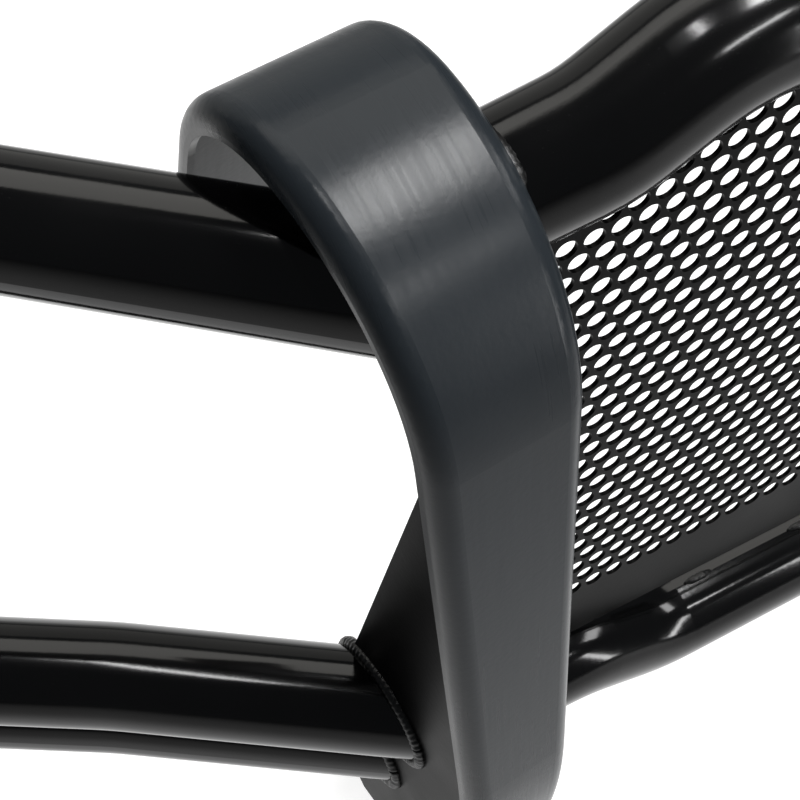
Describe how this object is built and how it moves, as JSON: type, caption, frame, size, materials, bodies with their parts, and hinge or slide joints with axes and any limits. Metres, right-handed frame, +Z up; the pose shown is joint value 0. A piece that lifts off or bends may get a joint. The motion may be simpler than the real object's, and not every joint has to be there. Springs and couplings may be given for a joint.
{
  "type": "front grille guard",
  "caption": "Welded tube guard for a pickup truck's front, with hooked channel risers, a punched grille plate, headlight hoops and chassis brackets.",
  "frame": {"origin": "centre of the four chassis bolt slots, on the rear faces of the two frame brackets", "axes": "+X across the vehicle, to the right of someone facing the guard; +Y rearward, towards the vehicle; +Z up; the guard is symmetric about X = 0"},
  "size_m": [1.7008, 0.3965, 0.6474],
  "materials": {
    "gloss_black_tube": "gloss black coat",
    "satin_black_riser": "satin black coat",
    "satin_black_plate": "satin black coat",
    "black_punch_plate": "semi-gloss black coat",
    "satin_black_bracket": "satin black coat",
    "plated_hardware": "zinc plated"
  },
  "bodies": {
    "root": {"centre_top_tube": "gloss_black_tube", "centre_bottom_tube": "gloss_black_tube", "left_headlight_hoop": "gloss_black_tube", "right_headlight_hoop": "gloss_black_tube", "left_headlight_bar": "gloss_black_tube", "right_headlight_bar": "gloss_black_tube", "punch_plate": "black_punch_plate", "left_riser": "satin_black_riser", "right_riser": "satin_black_riser", "left_riser_outer_plate": "satin_black_plate", "right_riser_outer_plate": "satin_black_plate", "left_riser_inner_plate": "satin_black_plate", "right_riser_inner_plate": "satin_black_plate", "left_frame_bracket": "satin_black_bracket", "right_frame_bracket": "satin_black_bracket", "left_bracket_gusset": "satin_black_bracket", "right_bracket_gusset": "satin_black_bracket", "bracket_bolts": "plated_hardware", "bracket_washers": "plated_hardware", "bracket_nuts": "plated_hardware"}
  },
  "joints": []
}
